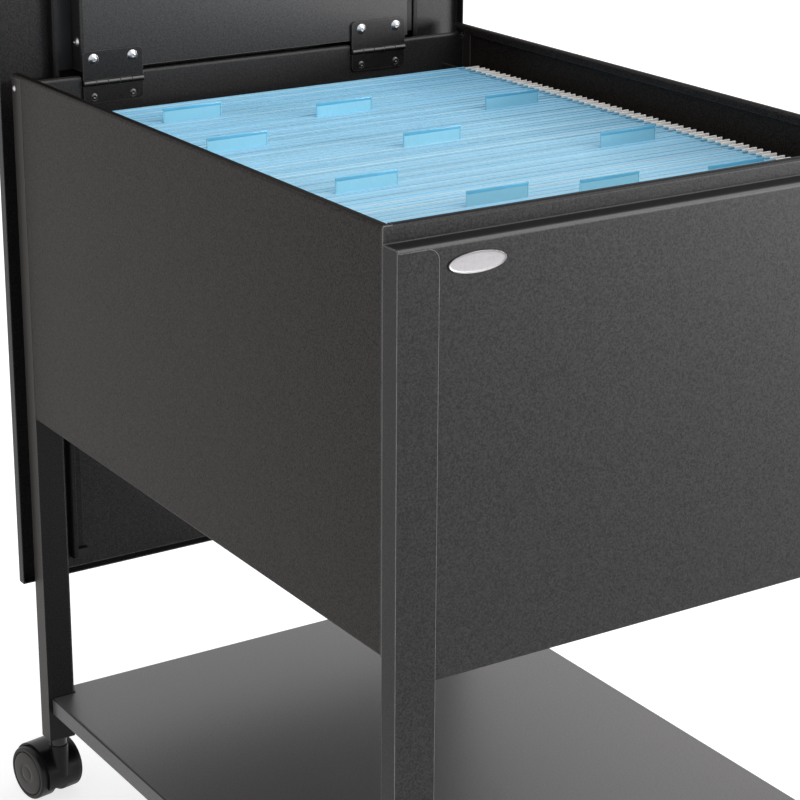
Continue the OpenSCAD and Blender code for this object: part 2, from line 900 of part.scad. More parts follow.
// Places a caster's own pieces: at its stem, turned, with its axle behind it
module at_caster(right, back) {
    stand() translate([right == 1 ? tub_w - stem_in : stem_in, stem_y(back), -leg_l])
        rotate([0, 0, back == 1 ? back_turn * (1 - 2 * right) : 0]) children();
}

module at_axle() {
    translate([0, trail, axle_z]) rotate([0, 90, 0]) children();
}

module hood() {
    difference() {
        union() {
            at_axle() cylinder(r = hood_r, h = hood_w, center = true);
            translate([0, 0, axle_z]) cylinder(r = boss_r, h = -axle_z - collar_h - part_gap);
        }
        for (side = [-1, 1]) {
            at_axle() translate([0, 0, side * (web_half + caster_w / 2)])
                cylinder(r = wheel_r + hood_gap, h = caster_w, center = true);
        }
        translate([-caster_w, trail - 2 * wheel_d, -2 * caster_h])
            cube([2 * caster_w, 4 * wheel_d, 2 * caster_h + axle_z - hood_low * wheel_r]);
        translate([0, 0, -stem_down - 1]) cylinder(r = stem_r + fit_gap, h = stem_down + 1);
        at_axle() cylinder(r = axle_r + fit_gap, h = hood_w + cut, center = true);
    }
}

module axle() {
    at_axle() cylinder(r = axle_r, h = caster_w - 2 * wheel_cap - 2 * part_gap, center = true);
}

// A wheel on one side of the web; side is -1 for the side with the lower X
module wheel(side) {
    inner = web_half + wheel_side_gap;
    outer = caster_w / 2;
    at_axle() mirror([0, 0, side == -1 ? 1 : 0]) difference() {
        rotate_extrude($fn = 72) difference() {
            union() {
                translate([0, inner]) square([wheel_r, outer - inner - wheel_round]);
                translate([0, inner]) square([wheel_r - wheel_round, outer - inner]);
                translate([wheel_r - wheel_round, outer - wheel_round]) circle(wheel_round);
            }
            translate([tread_in * wheel_r, outer - tread_groove]) square([2 * tread_groove, cut]);
        }
        translate([0, 0, inner - cut]) cylinder(r = axle_r + fit_gap, h = outer - inner - wheel_cap + cut);
    }
}

module caster_hood(right, back) {
    color(black_colour) at_caster(right, back) hood();
}

module caster_axle(right, back) {
    color(silver_colour) at_caster(right, back) axle();
}

module caster_wheel(right, back, side) {
    color(black_colour) at_caster(right, back) wheel(side);
}

left_wall();
right_wall();
front_wall();
front_panel();
back_wall();
tub_floor();
front_left_leg();
front_right_leg();
back_left_leg();
back_right_leg();
shelf();
shelf_screws();
left_file_rail();
right_file_rail();
badge();
leg_rivets();
caster_sockets();
caster_stems();
left_hinge_fixed_leaf();
right_hinge_fixed_leaf();
hinge_pins();
hinge_screws();
lid_carrier();
carrier_stiffener();
left_hinge_moving_leaf();
right_hinge_moving_leaf();
hinge_rivets();
carrier_rivets();
lid_slides();
lid_pan();
left_lid_rail();
right_lid_rail();
rail_stops();
folder_front_leaves();
folder_back_leaves();
hanger_rods();
inner_folders();
index_tabs();
caster_hood(0, 0);  // front_left_hood
caster_axle(0, 0);  // front_left_axle
caster_wheel(0, 0, -1);  // front_left_outer_wheel
caster_wheel(0, 0, 1);  // front_left_inner_wheel
caster_hood(1, 0);  // front_right_hood
caster_axle(1, 0);  // front_right_axle
caster_wheel(1, 0, 1);  // front_right_outer_wheel
caster_wheel(1, 0, -1);  // front_right_inner_wheel
caster_hood(0, 1);  // back_left_hood
caster_axle(0, 1);  // back_left_axle
caster_wheel(0, 1, -1);  // back_left_outer_wheel
caster_wheel(0, 1, 1);  // back_left_inner_wheel
caster_hood(1, 1);  // back_right_hood
caster_axle(1, 1);  // back_right_axle
caster_wheel(1, 1, 1);  // back_right_outer_wheel
caster_wheel(1, 1, -1);  // back_right_inner_wheel
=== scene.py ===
"""Mobile file cabinet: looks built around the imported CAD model."""

import json
import math
import random

import bmesh
import bpy
from mathutils import Matrix, Vector


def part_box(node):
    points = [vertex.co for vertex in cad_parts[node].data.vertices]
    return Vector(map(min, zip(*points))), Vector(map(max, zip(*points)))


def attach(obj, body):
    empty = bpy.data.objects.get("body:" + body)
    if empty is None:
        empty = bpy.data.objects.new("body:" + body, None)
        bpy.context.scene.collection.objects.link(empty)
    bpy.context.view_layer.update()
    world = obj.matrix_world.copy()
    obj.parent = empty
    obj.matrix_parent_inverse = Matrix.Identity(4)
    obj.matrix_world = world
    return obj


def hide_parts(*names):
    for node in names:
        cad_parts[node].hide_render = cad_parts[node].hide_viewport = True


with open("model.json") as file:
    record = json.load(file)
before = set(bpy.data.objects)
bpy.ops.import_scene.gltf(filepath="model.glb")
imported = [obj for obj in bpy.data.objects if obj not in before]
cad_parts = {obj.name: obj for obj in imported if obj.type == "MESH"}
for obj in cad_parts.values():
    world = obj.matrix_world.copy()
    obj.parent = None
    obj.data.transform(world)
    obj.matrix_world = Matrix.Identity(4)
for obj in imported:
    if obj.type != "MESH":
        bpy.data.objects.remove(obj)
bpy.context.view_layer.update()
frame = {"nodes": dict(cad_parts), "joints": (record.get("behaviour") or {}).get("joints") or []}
nodes = frame["nodes"]
rng = random.Random(7)

MM = 0.001
UP = Vector((0, 0, 1))
CORNERS = ("front_left", "front_right", "back_left", "back_right")
HOODS = [corner + "_hood" for corner in CORNERS]
LEAVES = [f"{side}_hinge_{kind}_leaf" for side in ("left", "right") for kind in ("fixed", "moving")]


def placed(x, y, z, origin):
    """A matrix with these axes and this origin."""
    matrix = Matrix((x, y, z)).transposed().to_4x4()
    matrix.translation = origin
    return matrix


# Camera: the photograph's camera, fitted to points of the object, in m and radians

EYE = (-1.01736, -1.54185, 1.07890)
HEADING = 0.55710
PITCH = 0.31980
FOCAL_PX = 2362.8
PHOTO_PX = 800
SENSOR_MM = 36
SHIFT = (0.05, -0.05)
VIEW_END = 50


def make_camera():
    data = bpy.data.cameras.new("camera")
    data.sensor_width = SENSOR_MM
    data.lens = FOCAL_PX / PHOTO_PX * SENSOR_MM
    data.shift_x, data.shift_y = SHIFT
    data.clip_end = VIEW_END
    forward = Vector((math.sin(HEADING) * math.cos(PITCH), math.cos(HEADING) * math.cos(PITCH),
                      -math.sin(PITCH)))
    right = Vector((math.cos(HEADING), -math.sin(HEADING), 0))
    camera = bpy.data.objects.new("camera", data)
    camera.matrix_world = placed(right, right.cross(forward), -forward, EYE)
    bpy.context.scene.collection.objects.link(camera)
    bpy.context.scene.camera = camera


make_camera()
bpy.context.scene.view_settings.view_transform = "Standard"


# Colours

def srgb(r, g, b):
    """Linear colour of an sRGB colour given as 0 to 255."""
    shares = (r / 255, g / 255, b / 255)
    return (*(v / 12.92 if v <= 0.04045 else ((v + 0.055) / 1.055) ** 2.4 for v in shares), 1.0)


def scaled(colour, k):
    return (colour[0] * k, colour[1] * k, colour[2] * k, 1.0)


def grey(tone):
    return (tone, tone, tone, 1.0)


# Node helpers

# Cosines between a face and its rounded copy on a flat and on an edge
FLAT_FROM = 0.985
EDGE_FROM = 0.9


class Tree:
    """A node tree built by short calls. A value is a number, a colour or another node's output."""

    def __init__(self, tree):
        self.tree = tree

    def add(self, kind, **values):
        """A new node. A name with a leading _ is a setting, any other an input, with __ for each space."""
        node = self.tree.nodes.new(kind)
        for key, value in values.items():
            if key.startswith("_"):
                setattr(node, key[1:], value)
            else:
                node.inputs[key.replace("__", " ")].default_value = value
        return node

    def link(self, output, socket):
        self.tree.links.new(output, socket)

    def feed(self, value, socket):
        """Links an output to a socket, or sets the socket to a plain value."""
        if hasattr(value, "is_output"):
            self.link(value, socket)
        else:
            socket.default_value = value

    def math(self, operation, a, b=0.0):
        node = self.add("ShaderNodeMath", _operation=operation)
        self.feed(a, node.inputs[0])
        self.feed(b, node.inputs[1])
        return node.outputs[0]

    def times(self, a, b):
        return self.math("MULTIPLY", a, b)

    def mix_shaders(self, share, a, b):
        node = self.add("ShaderNodeMixShader")
        for output, socket in zip((share, a, b), node.inputs):
            self.link(output, socket)
        return node.outputs[0]

    def looked_at(self):
        """1 for rays from the camera or a glossy surface, 0 for the rays that light the pieces."""
        path = self.add("ShaderNodeLightPath")
        return self.math("MAXIMUM", path.outputs["Is Camera Ray"], path.outputs["Is Glossy Ray"])


class Material(Tree):
    """A material with a Principled shader, its patterns fixed to the piece."""

    def __init__(self, name):
        self.material = bpy.data.materials.new(name)
        self.material.use_nodes = True
        super().__init__(self.material.node_tree)
        self.bsdf = self.tree.nodes["Principled BSDF"]
        self.coords = self.add("ShaderNodeTexCoord").outputs["Object"]

    def noise(self, scale, detail=3, rough=0.5, stretch=None):
        node = self.add("ShaderNodeTexNoise", Scale=scale, Detail=detail, Roughness=rough)
        source = self.coords
        if stretch:
            mapping = self.add("ShaderNodeMapping", Scale=stretch)
            self.link(source, mapping.inputs["Vector"])
            source = mapping.outputs["Vector"]
        self.link(source, node.inputs["Vector"])
        return node.outputs["Fac"]

    def ramp(self, value, low, high, a=0.0, b=1.0):
        """value from low..high mapped to a..b, clamped."""
        node = self.add("ShaderNodeMapRange", From__Min=low, From__Max=high, To__Min=a, To__Max=b)
        self.link(value, node.inputs["Value"])
        return node.outputs["Result"]

    def mix(self, share, a, b, blend="MIX"):
        """Colours a and b mixed. The node's sockets 6, 7 and 2 are those for colours."""
        node = self.add("ShaderNodeMix", _data_type="RGBA", _blend_type=blend)
        for value, socket in ((share, node.inputs[0]), (a, node.inputs[6]), (b, node.inputs[7])):
            self.feed(value, socket)
        return node.outputs[2]

    def split(self, vector):
        """Outputs X, Y and Z of a vector."""
        node = self.add("ShaderNodeSeparateXYZ")
        self.link(vector, node.inputs[0])
        return node.outputs

    def edges(self, radius):
        """1 along the edges of the solid and 0 on its flats."""
        bevel = self.add("ShaderNodeBevel", _samples=6, Radius=radius)
        geometry = self.add("ShaderNodeNewGeometry")
        dot = self.add("ShaderNodeVectorMath", _operation="DOT_PRODUCT")
        self.link(bevel.outputs["Normal"], dot.inputs[0])
        self.link(geometry.outputs["Normal"], dot.inputs[1])
        return self.ramp(dot.outputs["Value"], FLAT_FROM, EDGE_FROM)

    def bump(self, height, strength, distance, under=None):
        node = self.add("ShaderNodeBump", Strength=strength, Distance=distance)
        self.link(height, node.inputs["Height"])
        if under is not None:
            self.link(under, node.inputs["Normal"])
        return node.outputs["Normal"]

    def finish(self, colour, rough, normal=None, **values):
        """Feeds the shader, with __ for each space in the name of a further socket."""
        self.feed(colour, self.bsdf.inputs["Base Color"])
        self.feed(rough, self.bsdf.inputs["Roughness"])
        if normal is not None:
            self.link(normal, self.bsdf.inputs["Normal"])
        for key, value in values.items():
            self.feed(value, self.bsdf.inputs[key.replace("__", " ")])
        return self.material


# Powder coat

COAT_GRAIN = 760
# Width of the paler edges: edge wear and a painted highlight along every edge
EDGE_WEAR_AND_HIGHLIGHT_WIDTH = 0.9 * MM
PEBBLE = 0.22 * MM
ORANGE_PEEL = 0.6 * MM

# Heights between which a top near the rim gets painted shade, standing in for the dark tub that it
# reflects, and the tone of that painted shade
RIM_SHADE = (0.60, 0.64)
PAINTED_TOP_SHADE_TONE = grey(0.002)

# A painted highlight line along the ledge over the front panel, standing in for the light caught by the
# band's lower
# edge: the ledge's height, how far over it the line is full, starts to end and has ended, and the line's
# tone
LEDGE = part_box("front_panel")[1][2]
LINE_FULL = 0.2 * MM
LINE_ENDS = 0.6 * MM
LINE_GONE = 0.9 * MM
PAINTED_HIGHLIGHT_TONE = grey(0.11)


def powder_coat(name, base, edge=0.3, rough=(0.34, 0.5), shine=(0.34, 0.56), contrast=0.5,
                painted_top_shade=0.0, upright=1.0, fold=None, line=None, sides=None):
    """Textured powder coat: light and dark specks, a pebbled bump, and paler edges of tone edge, which are
    partly edge wear and partly a painted highlight.

    painted_top_shade paints shade on what faces up near the rim, standing in for the dark tub that the coat
    reflects there. upright is the share of the gloss that upright faces keep. fold is the tone, share and
    gloss of a painted highlight on a rounded upper fold, or of painted shade in the bend where the tone is
    dark. line is the height of a thin painted highlight line, and sides the colour of faces towards the
    left and right, painted lighter as if lit from the side."""
    m = Material(name)
    specks = m.noise(COAT_GRAIN, 3, 0.7)
    clouds = m.ramp(m.noise(6, 2), 0.35, 0.65, 0.0, 0.12)
    colour = m.mix(m.ramp(specks, 0.34, 0.66), scaled(base, 1 - contrast), scaled(base, 1 + contrast))
    colour = m.mix(clouds, colour, scaled(base, 1.4))
    level = m.ramp(specks, 0.3, 0.7, *shine)
    geometry = m.add("ShaderNodeNewGeometry")
    facing = m.split(geometry.outputs["Normal"])
    height = m.split(geometry.outputs["Position"])["Z"]
    up = facing["Z"]
    # Painted light: faces towards the left and right get a lighter, warmer colour, as if lit from the side.
    if sides:
        colour = m.mix(m.ramp(m.math("ABSOLUTE", facing["X"]), 0.5, 0.9), colour, sides)
    if upright < 1:
        level = m.times(level, m.ramp(up, 0.3, 0.9, upright, 1.0))
    # Painted light on a rounded upper fold: its tone and gloss change there, as a painted highlight, or as
    # painted shade where the tone is dark.
    if fold:
        tone, share, gloss = fold
        bend = m.times(m.times(m.ramp(up, 0.12, 0.4), m.ramp(up, 0.8, 0.96, 1.0, 0.0)), share)
        colour = m.mix(bend, colour, grey(tone))
        level = m.times(level, m.ramp(bend, 0.0, 1.0, 1.0, gloss))
    # Painted highlight: a thin light line just over the given height.
    if line:
        painted_highlight_line = m.times(m.ramp(height, line, line + LINE_FULL),
                         m.ramp(height, line + LINE_ENDS, line + LINE_GONE, 1.0, 0.0))
        colour = m.mix(m.times(painted_highlight_line, 0.8), colour, PAINTED_HIGHLIGHT_TONE)
    # Painted shade: tops near the rim go dark and lose their gloss.
    if painted_top_shade:
        top = m.times(m.times(m.ramp(up, 0.75, 0.97), m.ramp(height, *RIM_SHADE)), painted_top_shade)
        colour = m.mix(top, colour, PAINTED_TOP_SHADE_TONE)
        level = m.times(level, m.math("SUBTRACT", 1.0, top))
    # Paler edges: random edge wear together with a painted highlight along every edge.
    worn = m.ramp(m.noise(60, 4), 0.3, 0.6, 0.7, 1.0)
    wear_and_highlight = m.times(m.times(m.edges(EDGE_WEAR_AND_HIGHLIGHT_WIDTH), worn), 0.85)
    colour = m.mix(wear_and_highlight, colour, (edge, edge * 0.98, edge * 0.95, 1))
    normal = m.bump(m.noise(70, 2), 0.06, ORANGE_PEEL, m.bump(specks, 0.30, PEBBLE))
    return m.finish(colour, m.ramp(specks, 0.3, 0.7, *rough), normal, Specular__IOR__Level=level)


FACING_FRONT = {"shine": (0.12, 0.24), "contrast": 0.45}
# Painted shade on tops near the rim for the walls, the band, the front panel and the legs at the front.
paint_body = powder_coat("powder_coat_charcoal", srgb(40, 36, 34), shine=(0.04, 0.15), contrast=0.7,
                         painted_top_shade=0.8)
paint_panel = powder_coat("powder_coat_panel", srgb(32, 31, 32), painted_top_shade=0.8, **FACING_FRONT)
# The band gets a painted highlight line just over the ledge.
paint_band = powder_coat("powder_coat_band", srgb(34, 33, 34), painted_top_shade=0.8, line=LEDGE, **FACING_FRONT)
# The front panel gets a painted highlight along its rounded top fold.
paint_front = powder_coat("powder_coat_front", srgb(34, 33, 34), painted_top_shade=0.4, fold=(0.085, 0.7, 2.2),
                          **FACING_FRONT)
# The shelf is the same coat painted far lighter, as if lit from above, with painted shade in its bend.
paint_shelf_lit = powder_coat("powder_coat_shelf_painted_light", srgb(94, 91, 92), rough=(0.28, 0.4), shine=(0.8, 1.0),
                          contrast=0.3, upright=0.3, fold=(0.004, 0.85, 0.1))
# The hinge leaves get a painted highlight on the upper side of their knuckles.
paint_hinge = powder_coat("powder_coat_hinge", srgb(22, 21, 21), 0.1, (0.34, 0.48), (0.2, 0.34),
                          fold=(0.09, 0.85, 2.2))
# The back legs' side faces are painted lighter and warmer, as if lit from the side.
paint_leg = powder_coat("powder_coat_leg", srgb(20, 19, 19), 0.16, shine=(0.14, 0.26),
                        sides=srgb(46, 42, 40))
paint_rail = powder_coat("powder_coat_rail", srgb(20, 19, 20), 0.04, (0.4, 0.55), (0.12, 0.24))
paint_lid = powder_coat("powder_coat_lid", srgb(30, 28, 28), 0.16, shine=(0.14, 0.28))
paint_inner = powder_coat("powder_coat_black", srgb(38, 37, 38), 0.18, (0.36, 0.5), (0.24, 0.4))


# Plated metal

def plated(name, base, rough=(0.18, 0.34), streak=(1, 1, 1)):
    """Zinc-plated steel: bright, with a faint brushed grain and small dull spots."""
    m = Material(name)
    fine = m.noise(2500, 2, 0.5, streak)
    spots = m.noise(300, 4, 0.6)
    colour = m.mix(m.ramp(spots, 0.5, 0.75, 0.0, 0.45), base, scaled(base, 0.68))
    roughness = m.math("ADD", m.ramp(fine, 0.3, 0.7, *rough), m.ramp(spots, 0.5, 0.75, 0, 0.15))
    return m.finish(colour, roughness, m.bump(fine, 0.12, 0.08 * MM), Metallic=1.0)


metal_plate = plated("zinc_plate", srgb(205, 206, 208))
metal_rivet = plated("rivet_plate", srgb(188, 188, 190), (0.26, 0.36))
badge_metal = plated("badge_metal", srgb(140, 138, 140), (0.3, 0.42), (0.05, 1, 1))
metal_dark = plated("dark_plate", srgb(90, 89, 90), (0.3, 0.45))


# Card and plastic

# Where folders and tabs pass from painted light at the front to deep along the tub, and where the right
# wall's painted shade starts on them
PALE_TO_DEEP = (-0.26, 0.22)
NEAR_WALL = (0.07, 0.185)


def painted_light_and_shade(m, colour):
    """Painted light and shade: folders and tabs are painted paler towards the front of the tub and deeper
    in the shade of its right wall.
    """
    place = m.split(m.coords)
    painted_front_light = m.mix(m.ramp(place["Y"], *PALE_TO_DEEP), (1.16, 1.03, 1.0, 1), (0.90, 0.93, 0.95, 1))
    shade = m.mix(m.ramp(place["X"], *NEAR_WALL), (1, 1, 1, 1), (0.52, 0.64, 0.70, 1))
    return m.mix(1.0, m.mix(1.0, colour, painted_front_light, "MULTIPLY"), shade, "MULTIPLY")


def card(name, base, pale, specks=900):
    """Coated card: a soft fibre grain, mottling, tones that change from sheet to sheet, paler cut edges."""
    m = Material(name)
    fibre = m.noise(specks, 4, 0.65, (0.25, 1, 1))
    by_sheet = m.noise(72, 2, 0.6, (0.02, 1, 0.02))
    colour = m.mix(m.ramp(fibre, 0.3, 0.7), scaled(base, 0.96), scaled(base, 1.03))
    colour = m.mix(m.ramp(m.noise(35), 0.35, 0.7, 0, 0.25), colour, scaled(base, 0.90))
    colour = m.mix(m.ramp(by_sheet, 0.4, 0.6, 0, 0.8), colour, scaled(base, 0.8))
    colour = m.mix(m.times(m.edges(0.5 * MM), 0.55), colour, pale)
    # Painted light towards the front and painted shade by the right wall, as on the tabs.
    return m.finish(painted_light_and_shade(m, colour), m.ramp(fibre, 0.3, 0.7, 0.5, 0.68), m.bump(fibre, 0.14, 0.1 * MM))


folder_card = card("folder_card", srgb(150, 213, 243), srgb(195, 230, 247))
paper_pale = card("inner_card", srgb(172, 223, 247), srgb(200, 234, 249), 1300)
paper_deep = card("inner_card_b", srgb(160, 217, 245), srgb(192, 231, 248), 1300)
paper_white = card("inner_card_c", srgb(188, 229, 247), srgb(212, 238, 249), 1300)
tab_paper = card("tab_paper", srgb(158, 225, 246), srgb(190, 234, 248), 1600)


def plastic(name, base, rough, gloss, grain=1500, strength=0.08, tab=False):
    """Moulded plastic: a fine grain, worn edges and slightly uneven gloss. A tab gets the folders' painted
    light and shade.
    """
    m = Material(name)
    cloud = m.noise(40)
    colour = m.mix(m.ramp(cloud, 0.3, 0.7), scaled(base, 0.92), scaled(base, 1.08))
    colour = m.mix(m.times(m.edges(0.7 * MM), 0.35), colour, scaled(base, 1.3 if tab else 1.8))
    if tab:
        # Painted light towards the front and painted shade by the right wall, as on the folders.
        colour = painted_light_and_shade(m, colour)
    normal = m.bump(m.noise(grain, 2), strength, 0.1 * MM)
    roughness = m.ramp(cloud, 0.3, 0.7, rough - 0.04, rough + 0.06)
    return m.finish(colour, roughness, normal, Specular__IOR__Level=gloss)


black_plastic = plastic("black_nylon", srgb(22, 22, 23), 0.5, 0.25)
hood_plastic = plastic("hood_plastic", srgb(13, 12, 13), 0.3, 0.2)
tyre_plastic = plastic("tyre_plastic", srgb(24, 23, 23), 0.42, 0.25, 900, 0.15)
disc_plastic = plastic("disc_plastic", srgb(50, 46, 44), 0.36, 0.26)
rod_coat = plastic("rod_coat", srgb(254, 252, 249), 0.4, 0.5, 1200, 0.1)
stem_coat = plastic("stem_coat", srgb(24, 23, 23), 0.2, 0.4)
tab_plastic = plastic("tab_plastic", srgb(154, 222, 245), 0.2, 0.4, 900, 0.04, True)
tab_ridge = plastic("tab_ridge", srgb(108, 190, 224), 0.22, 0.4, 900, 0.04, True)


# CAD nodes that stay: welded, softened along their edges and given a finish

FINISH = {
    paint_body: ["left_wall", "right_wall"],
    paint_band: ["front_wall"],
    paint_front: ["front_panel"],
    paint_panel: ["front_left_leg", "front_right_leg"],
    paint_leg: ["back_left_leg", "back_right_leg"],
    paint_shelf_lit: ["shelf"],
    paint_hinge: LEAVES,
    paint_lid: ["lid_pan"],
    paint_rail: ["left_lid_rail", "right_lid_rail"],
    paint_inner: ["back_wall", "tub_floor", "shelf_screws", "left_file_rail", "right_file_rail",
                  "lid_carrier", "carrier_stiffener"],
    metal_plate: [corner + "_axle" for corner in CORNERS],
    metal_dark: ["hinge_pins"],
    hood_plastic: HOODS,
    black_plastic: ["caster_sockets", "lid_slides", "rail_stops"],
    stem_coat: ["caster_stems"],
    rod_coat: ["hanger_rods"],
    folder_card: ["folder_front_leaves", "folder_back_leaves"],
}
EDGE_WIDTHS = {
    0.4 * MM: ["left_wall", "right_wall", "front_wall", "back_wall", "front_left_leg", "front_right_leg",
               "back_left_leg", "back_right_leg", "lid_pan", "shelf", "left_lid_rail", "right_lid_rail",
               "left_file_rail", "right_file_rail"],
    0.3 * MM: LEAVES,
    0.8 * MM: HOODS,
}
WELD_REACH = 0.02 * MM
EDGE_SEGMENTS = 2
EDGE_ANGLE = math.radians(40)
FLATS_WEIGHT = 80


def paint(node, material):
    materials = nodes[node].data.materials
    materials.clear()
    materials.append(material)


def soften(node, width):
    modifiers = nodes[node].modifiers
    modifiers.new("weld", "WELD").merge_threshold = WELD_REACH
    bevel = modifiers.new("bevel", "BEVEL")
    bevel.width = width
    bevel.segments = EDGE_SEGMENTS
    bevel.limit_method = "ANGLE"
    bevel.angle_limit = EDGE_ANGLE
    bevel.harden_normals = False
    bevel.miter_outer = "MITER_ARC"
    normals = modifiers.new("normals", "WEIGHTED_NORMAL")
    normals.weight = FLATS_WEIGHT
    normals.keep_sharp = False


for material, names in FINISH.items():
    for name in names:
        paint(name, material)
for width, names in EDGE_WIDTHS.items():
    for name in names:
        soften(name, width)


# Mesh helpers

def add_object(name, bm, materials, body, replaces=(), angle=35):
    """A piece from a bmesh, smooth but for its open edges and those that turn by angle degrees or more."""
    bm.normal_update()
    limit = math.radians(angle)
    for face in bm.faces:
        face.smooth = True
    for edge in bm.edges:
        edge.smooth = len(edge.link_faces) == 2 and edge.calc_face_angle(0) < limit
    mesh = bpy.data.meshes.new(name)
    bm.to_mesh(mesh)
    bm.free()
    for material in materials:
        mesh.materials.append(material)
    obj = bpy.data.objects.new(name, mesh)
    bpy.context.scene.collection.objects.link(obj)
    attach(obj, body)
    if replaces:
        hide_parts(*replaces)


def bridge(bm, rings, flip=False):
    """Faces from each ring of points to the next. A ring of one point closes the form. flip turns each face
    over about its first corner, so that a face of four corners is still split from there."""
    for a, b in zip(rings, rings[1:]):
        steps = max(len(a), len(b))
        for i in range(steps):
            j = (i + 1) % steps
            if len(a) == 1:
                face = [a[0], b[j], b[i]]
            elif len(b) == 1:
                face = [a[i], a[j], b[0]]
            else:
                face = [a[i], a[j], b[j], b[i]]
            if flip:
                face[1:] = face[:0:-1]
            bm.faces.new(face)


def circle(steps):
    """Cosine and sine of each step round a circle."""
    turns = [2 * math.pi * i / steps for i in range(steps)]
    return [(math.cos(t), math.sin(t)) for t in turns]


def arc(x, y, r, start, end, steps):
    """Points of an arc, angles in degrees."""
    turns = [math.radians(start + (end - start) * i / steps) for i in range(steps + 1)]
    return [(x + r * math.cos(t), y + r * math.sin(t)) for t in turns]


def lathe(bm, profile, place, steps):
    """Revolves a profile of (radius, height) in m about local Z, then places it by a matrix."""
    rings = []
    for r, z in profile:
        points = [(r * c, r * s, z) for c, s in circle(steps)] if r else [(0, 0, z)]
        rings.append([bm.verts.new(place @ Vector(p)) for p in points])
    bridge(bm, rings)


def millimetres(profile):
    return [(r * MM, z * MM) for r, z in profile]


def islands(node):
    """Boxes of a node's separate solids, lowest and highest corner each, from front to back."""
    bm = bmesh.new()
    bm.from_mesh(nodes[node].data)
    bmesh.ops.remove_doubles(bm, verts=bm.verts, dist=1e-6)
    seen, boxes = set(), []
    for start in bm.verts:
        if start in seen:
            continue
        seen.add(start)
        waiting, points = [start], []
        while waiting:
            vert = waiting.pop()
            points.append(vert.co.copy())
            for edge in vert.link_edges:
                other = edge.other_vert(vert)
                if other not in seen:
                    seen.add(other)
                    waiting.append(other)
        boxes.append((Vector([min(p[i] for p in points) for i in range(3)]),
                      Vector([max(p[i] for p in points) for i in range(3)])))
    bm.free()
    return sorted(boxes, key=lambda box: (round(box[0].y, 4), box[0].x))


# Casters: turned wheels with a tread and a dished disc in a well

# Radii and heights over the wheel's inner side, in mm
WHEEL_R = 25.0
WHEEL_IN = 6.0
IN_ROUND = 1.4
SHOULDER = 21.0
SHOULDER_ROUND = 1.8
WELL_R = 21.0
WELL_ROUND = 0.5
WELL_FLOOR = 20.6
DISC_R = 20.4
DISC_EDGE = 22.2
DISC_ROUND = 1.0
TYRE = ([(0.0, WHEEL_IN), (20.5, WHEEL_IN)]
        + arc(WHEEL_R - IN_ROUND, WHEEL_IN + IN_ROUND, IN_ROUND, -90, 0, 4)
        + [(WHEEL_R, 9.0), (WHEEL_R, SHOULDER)]
        + arc(WHEEL_R - SHOULDER_ROUND, SHOULDER, SHOULDER_ROUND, 0, 90, 8)
        + [(22.4, 22.9), (21.8, 22.7)]
        + arc(WELL_R + WELL_ROUND, 22.3, WELL_ROUND, 70, 180, 4)
        + [(WELL_R, WELL_FLOOR), (0.0, WELL_FLOOR)])
DISC = ([(0.0, 20.0), (DISC_R, 20.0), (DISC_R, DISC_EDGE)]
        + arc(DISC_R - DISC_ROUND, DISC_EDGE, DISC_ROUND, 0, 80, 5)
        + [(16.5, 23.45), (12.0, 23.75), (8.2, 23.92), (7.6, 23.7), (7.2, 23.62), (6.8, 23.8), (4.0, 23.96),
           (0.0, 23.99)])
WHEEL_STEPS = 96


def joint_frame(name, sign):
    """A matrix at a joint whose local Z is its axis times sign."""
    joint = next(j for j in frame["joints"] if j["name"] == name)
    z = Vector(joint["axis"]).normalized() * sign
    x = UP.cross(z).normalized()
    return placed(x, z.cross(x), z, joint["pos_m"])


def make_wheel(corner, which):
    outwards = 1 if (which == "outer") == corner.endswith("right") else -1
    body = f"{corner}_{which}_wheel"
    place = joint_frame(body + "_spin", outwards)
    for part, profile, material, replaces in (("tyre", TYRE, tyre_plastic, [body]),
                                              ("disc", DISC, disc_plastic, ())):
        bm = bmesh.new()
        lathe(bm, millimetres(profile), place, WHEEL_STEPS)
        add_object(f"{corner}_{which}_{part}", bm, [material], body, replaces, angle=40)


for corner in CORNERS:
    make_wheel(corner, "outer")
    make_wheel(corner, "inner")


# Index tabs: a sleeve with a rolled upper edge, and a blank slip in front of it between two lips

# Distances from the faces of a tab's box, in mm
SLEEVE_FRONT = 0.45
SLEEVE_TOP = 1.5
SLEEVE_ROUND = 0.8
SLIP_SIDE = 1.1
SLIP_TOP = 2.4
SLIP_FOOT = 0.8
SLIP_FRONT = 0.16
SLIP_BACK = 0.44
SLIP_ROUND = 0.4
LIP_W = 0.7
LIP_T = 0.6
LIP_TOP = 2
LIP_FOOT = 6
LIP_ROUND = 0.3

# The rolled edge in mm, its end faces as a share of its radius, and how flat it is pressed
ROLL_R = 1.6
ROLL_ROUND = 0.3
ROLL_END = 0.8
ROLL_PRESSED = 0.25
ROLL_STEPS = 16
CORNER_STEPS = 5


def moved(point, x=0.0, y=0.0, z=0.0):
    """A point moved by so many mm."""
    return point + Vector((x, y, z)) * MM


def slab(bm, lo, hi, radius):
    """A thin upright plate facing Y from corner lo to corner hi, its corners rounded by radius in mm."""
    r = radius * MM
    outline = []
    for x, z, start in ((hi.x - r, lo.z + r, -90), (hi.x - r, hi.z - r, 0),
                        (lo.x + r, hi.z - r, 90), (lo.x + r, lo.z + r, 180)):
        outline += arc(x, z, r, start, start + 90, CORNER_STEPS)
    front = [bm.verts.new((x, lo.y, z)) for x, z in outline]
    back = [bm.verts.new((x, hi.y, z)) for x, z in outline]
    bm.faces.new(front)
    bm.faces.new(back[::-1])
    bridge(bm, (front, back), flip=True)


